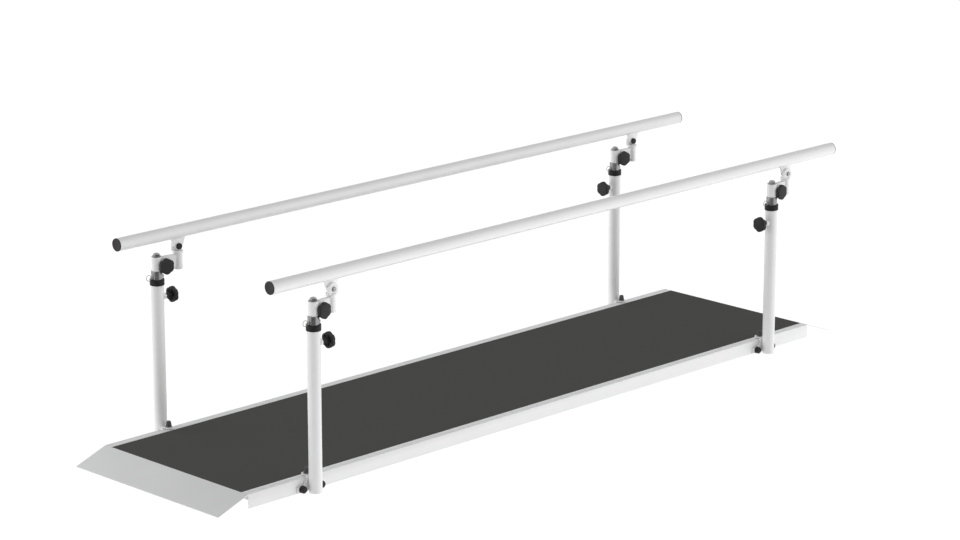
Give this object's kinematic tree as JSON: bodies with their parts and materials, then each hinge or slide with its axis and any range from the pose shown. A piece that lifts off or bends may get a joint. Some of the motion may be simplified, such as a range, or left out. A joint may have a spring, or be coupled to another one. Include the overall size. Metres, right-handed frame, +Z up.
{
  "type": "rehab walking parallel bars",
  "caption": "Height and width adjustable hand rails on telescopic posts bolted to a low platform with a non-slip mat and end ramps.",
  "frame": {"origin": "on the floor under the middle of the platform", "axes": "+X along the rails towards the right ramp, +Y across to the back rail, +Z up"},
  "size_m": [3.272, 0.9077, 0.7972],
  "materials": {
    "white_paint": "smooth white powder coat",
    "aluminium_profile": "satin light grey profile",
    "ramp_sheet": "matt light grey sheet",
    "mat_rubber": "matt dark grey, fine grained",
    "deck_wood": "plywood with a pale laminate",
    "bare_steel": "bare zinc-plated steel",
    "black_plastic": "black moulded plastic",
    "knob_plastic": "black moulded plastic",
    "end_cap_plastic": "dark grey moulded plastic"
  },
  "bodies": {
    "platform": {"deck_board": "deck_wood", "mat": "mat_rubber", "cross_member_left": "aluminium_profile", "cross_member_middle": "aluminium_profile", "cross_member_right": "aluminium_profile", "front_side_rail": "aluminium_profile", "back_side_rail": "aluminium_profile", "left_ramp": "ramp_sheet", "right_ramp": "ramp_sheet", "front_left_post": "white_paint", "front_left_collar": "black_plastic", "front_right_post": "white_paint", "front_right_collar": "black_plastic", "back_left_post": "white_paint", "back_left_collar": "black_plastic", "back_right_post": "white_paint", "back_right_collar": "black_plastic"},
    "front_left_tube": {"front_left_inner_tube": "bare_steel", "front_left_arm_nut": "bare_steel"},
    "front_left_pin": {"front_left_lock_pin": "bare_steel"},
    "front_left_ring": {"front_left_pin_ring": "bare_steel"},
    "front_left_arm": {"front_left_swing_arm": "white_paint"},
    "front_left_arm_clamp": {"front_left_arm_knob": "knob_plastic"},
    "front_left_ear": {"front_left_swivel_ear": "white_paint", "front_left_pivot_bolt": "bare_steel"},
    "front_left_height_clamp": {"front_left_height_knob": "knob_plastic"},
    "front_right_tube": {"front_right_inner_tube": "bare_steel", "front_right_arm_nut": "bare_steel"},
    "front_right_pin": {"front_right_lock_pin": "bare_steel"},
    "front_right_ring": {"front_right_pin_ring": "bare_steel"},
    "front_right_arm": {"front_right_swing_arm": "white_paint"},
    "front_right_arm_clamp": {"front_right_arm_knob": "knob_plastic"},
    "front_right_ear": {"front_right_swivel_ear": "white_paint", "front_right_pivot_bolt": "bare_steel"},
    "front_right_height_clamp": {"front_right_height_knob": "knob_plastic"},
    "front_rail": {"front_rail": "white_paint", "front_rail_left_cap": "end_cap_plastic", "front_rail_right_cap": "end_cap_plastic"},
    "back_left_tube": {"back_left_inner_tube": "bare_steel", "back_left_arm_nut": "bare_steel"},
    "back_left_pin": {"back_left_lock_pin": "bare_steel"},
    "back_left_ring": {"back_left_pin_ring": "bare_steel"},
    "back_left_arm": {"back_left_swing_arm": "white_paint"},
    "back_left_arm_clamp": {"back_left_arm_knob": "knob_plastic"},
    "back_left_ear": {"back_left_swivel_ear": "white_paint", "back_left_pivot_bolt": "bare_steel"},
    "back_left_height_clamp": {"back_left_height_knob": "knob_plastic"},
    "back_right_tube": {"back_right_inner_tube": "bare_steel", "back_right_arm_nut": "bare_steel"},
    "back_right_pin": {"back_right_lock_pin": "bare_steel"},
    "back_right_ring": {"back_right_pin_ring": "bare_steel"},
    "back_right_arm": {"back_right_swing_arm": "white_paint"},
    "back_right_arm_clamp": {"back_right_arm_knob": "knob_plastic"},
    "back_right_ear": {"back_right_swivel_ear": "white_paint", "back_right_pivot_bolt": "bare_steel"},
    "back_right_height_clamp": {"back_right_height_knob": "knob_plastic"},
    "back_rail": {"back_rail": "white_paint", "back_rail_left_cap": "end_cap_plastic", "back_rail_right_cap": "end_cap_plastic"}
  },
  "joints": [
    {"name": "front_height", "type": "slide", "parent": "platform", "child": "front_left_tube", "axis": [0, 0, 1], "range_m": [0, 0.24]},
    {"name": "front_left_pin_pull", "type": "slide", "parent": "front_left_tube", "child": "front_left_pin", "axis": [-1, 0, 0], "range_m": [0, 0.055]},
    {"name": "front_left_ring_swing", "type": "hinge", "parent": "front_left_pin", "child": "front_left_ring", "pos_m": [-1.2449, -0.4208, 0.6174], "axis": [0, 0, 1], "range_deg": [-45, 45]},
    {"name": "front_left_arm_swing", "type": "hinge", "parent": "front_left_tube", "child": "front_left_arm", "pos_m": [-1.217, -0.4208, 0.6414], "axis": [0, 0, 1], "range_deg": [-96.3, 83.7]},
    {"name": "front_left_arm_knob_turn", "type": "hinge", "parent": "front_left_arm", "child": "front_left_arm_clamp", "pos_m": [-1.19314, -0.41817, 0.6589], "axis": [0.1097, -0.994, 0], "range_deg": [0, 450]},
    {"name": "front_left_ear_swivel", "type": "hinge", "parent": "front_left_arm", "child": "front_left_ear", "pos_m": [-1.12456, -0.4106, 0.6935], "axis": [0, 0, 1], "range_deg": [-83.7, 96.3]},
    {"name": "front_left_height_knob_turn", "type": "hinge", "parent": "platform", "child": "front_left_height_clamp", "pos_m": [-1.217, -0.4208, 0.5401], "axis": [1, 0, 0], "range_deg": [0, 450]},
    {"name": "front_slope_lift", "type": "slide", "parent": "front_left_tube", "child": "front_right_tube", "axis": [0, 0, 1], "range_m": [0, 0.1001]},
    {"name": "front_right_pin_pull", "type": "slide", "parent": "front_right_tube", "child": "front_right_pin", "axis": [-1, 0, 0], "range_m": [0, 0.055]},
    {"name": "front_right_ring_swing", "type": "hinge", "parent": "front_right_pin", "child": "front_right_ring", "pos_m": [1.1891, -0.4208, 0.6174], "axis": [0, 0, 1], "range_deg": [-45, 45]},
    {"name": "front_right_arm_swing", "type": "hinge", "parent": "front_right_tube", "child": "front_right_arm", "pos_m": [1.217, -0.4208, 0.6414], "axis": [0, 0, 1], "range_deg": [-96.3, 83.7]},
    {"name": "front_right_arm_knob_turn", "type": "hinge", "parent": "front_right_arm", "child": "front_right_arm_clamp", "pos_m": [1.24086, -0.41817, 0.6589], "axis": [0.1097, -0.994, 0], "range_deg": [0, 450]},
    {"name": "front_right_ear_swivel", "type": "hinge", "parent": "front_right_arm", "child": "front_right_ear", "pos_m": [1.30944, -0.4106, 0.6935], "axis": [0, 0, 1], "range_deg": [-83.7, 96.3]},
    {"name": "front_right_height_knob_turn", "type": "hinge", "parent": "platform", "child": "front_right_height_clamp", "pos_m": [1.217, -0.4208, 0.5401], "axis": [-1, 0, 0], "range_deg": [0, 450]},
    {"name": "front_rail_tilt", "type": "hinge", "parent": "front_left_ear", "child": "front_rail", "pos_m": [-1.12456, -0.4106, 0.7182], "axis": [0, -1, 0], "range_deg": [0, 2.35]},
    {"name": "back_height", "type": "slide", "parent": "platform", "child": "back_left_tube", "axis": [0, 0, 1], "range_m": [0, 0.24]},
    {"name": "back_left_pin_pull", "type": "slide", "parent": "back_left_tube", "child": "back_left_pin", "axis": [-1, 0, 0], "range_m": [0, 0.055]},
    {"name": "back_left_ring_swing", "type": "hinge", "parent": "back_left_pin", "child": "back_left_ring", "pos_m": [-1.2449, 0.4208, 0.6174], "axis": [0, 0, 1], "range_deg": [-45, 45]},
    {"name": "back_left_arm_swing", "type": "hinge", "parent": "back_left_tube", "child": "back_left_arm", "pos_m": [-1.217, 0.4208, 0.6414], "axis": [0, 0, 1], "range_deg": [-83.7, 96.3]},
    {"name": "back_left_arm_knob_turn", "type": "hinge", "parent": "back_left_arm", "child": "back_left_arm_clamp", "pos_m": [-1.19314, 0.41817, 0.6589], "axis": [-0.1097, -0.994, 0], "range_deg": [0, 450]},
    {"name": "back_left_ear_swivel", "type": "hinge", "parent": "back_left_arm", "child": "back_left_ear", "pos_m": [-1.12456, 0.4106, 0.6935], "axis": [0, 0, 1], "range_deg": [-96.3, 83.7]},
    {"name": "back_left_height_knob_turn", "type": "hinge", "parent": "platform", "child": "back_left_height_clamp", "pos_m": [-1.217, 0.4208, 0.5401], "axis": [1, 0, 0], "range_deg": [0, 450]},
    {"name": "back_slope_lift", "type": "slide", "parent": "back_left_tube", "child": "back_right_tube", "axis": [0, 0, 1], "range_m": [0, 0.1001]},
    {"name": "back_right_pin_pull", "type": "slide", "parent": "back_right_tube", "child": "back_right_pin", "axis": [-1, 0, 0], "range_m": [0, 0.055]},
    {"name": "back_right_ring_swing", "type": "hinge", "parent": "back_right_pin", "child": "back_right_ring", "pos_m": [1.1891, 0.4208, 0.6174], "axis": [0, 0, 1], "range_deg": [-45, 45]},
    {"name": "back_right_arm_swing", "type": "hinge", "parent": "back_right_tube", "child": "back_right_arm", "pos_m": [1.217, 0.4208, 0.6414], "axis": [0, 0, 1], "range_deg": [-83.7, 96.3]},
    {"name": "back_right_arm_knob_turn", "type": "hinge", "parent": "back_right_arm", "child": "back_right_arm_clamp", "pos_m": [1.24086, 0.41817, 0.6589], "axis": [-0.1097, -0.994, 0], "range_deg": [0, 450]},
    {"name": "back_right_ear_swivel", "type": "hinge", "parent": "back_right_arm", "child": "back_right_ear", "pos_m": [1.30944, 0.4106, 0.6935], "axis": [0, 0, 1], "range_deg": [-96.3, 83.7]},
    {"name": "back_right_height_knob_turn", "type": "hinge", "parent": "platform", "child": "back_right_height_clamp", "pos_m": [1.217, 0.4208, 0.5401], "axis": [-1, 0, 0], "range_deg": [0, 450]},
    {"name": "back_rail_tilt", "type": "hinge", "parent": "back_left_ear", "child": "back_rail", "pos_m": [-1.12456, 0.4106, 0.7182], "axis": [0, -1, 0], "range_deg": [0, 2.35]}
  ],
  "couplings": [
    {"joint": "front_slope_lift", "follows": "front_rail_tilt", "m_per_rad": 2.434},
    {"joint": "front_left_ear_swivel", "follows": "front_left_arm_swing", "ratio": -1},
    {"joint": "front_right_arm_swing", "follows": "front_left_arm_swing", "ratio": 1},
    {"joint": "front_right_ear_swivel", "follows": "front_left_arm_swing", "ratio": -1},
    {"joint": "back_slope_lift", "follows": "back_rail_tilt", "m_per_rad": 2.434},
    {"joint": "back_left_ear_swivel", "follows": "back_left_arm_swing", "ratio": -1},
    {"joint": "back_right_arm_swing", "follows": "back_left_arm_swing", "ratio": 1},
    {"joint": "back_right_ear_swivel", "follows": "back_left_arm_swing", "ratio": -1}
  ]
}
